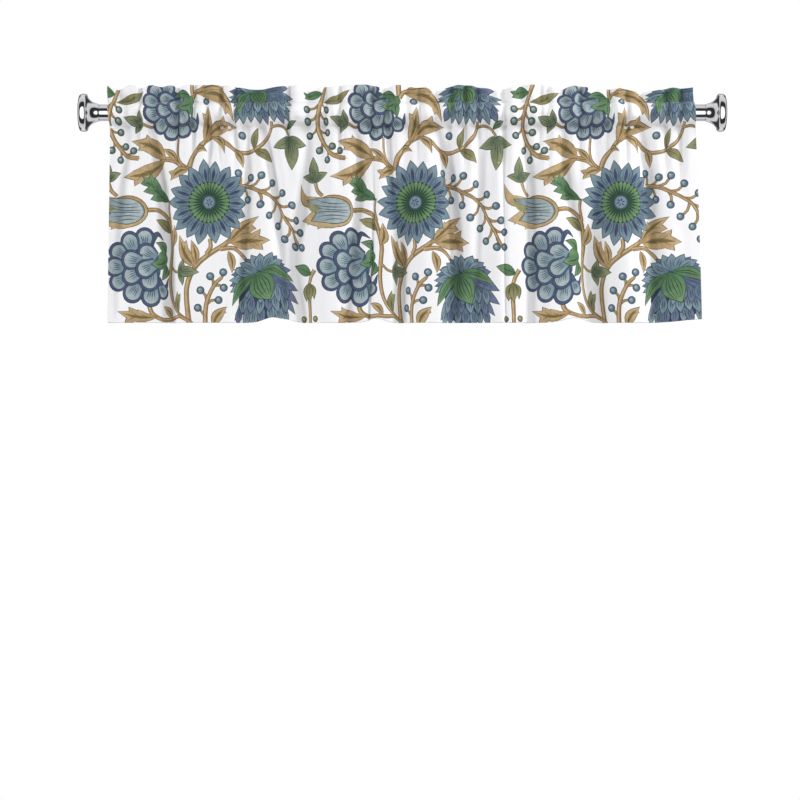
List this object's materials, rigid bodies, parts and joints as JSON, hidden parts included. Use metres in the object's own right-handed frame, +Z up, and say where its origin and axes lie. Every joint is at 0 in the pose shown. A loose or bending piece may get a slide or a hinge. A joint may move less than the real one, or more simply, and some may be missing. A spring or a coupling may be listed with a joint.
{
  "type": "window valance on a curtain rod",
  "caption": "Gathered rod-pocket window valance with a ruffled heading, in a flower and leaf print, hanging on a plain round rod with trumpet finials.",
  "frame": {"origin": "middle of the rod's axis", "axes": "+X along the rod to the right as seen from the room, -Y towards the room, +Z up"},
  "size_m": [1.258, 0.0738, 0.4631],
  "materials": {
    "cloth": "matt woven cloth, white ground with a blue, green and tan flower and leaf print",
    "chrome": "polished chrome plate"
  },
  "bodies": {
    "root": {"valance": "cloth", "rod": "chrome", "finial_left": "chrome", "finial_right": "chrome"}
  },
  "joints": []
}
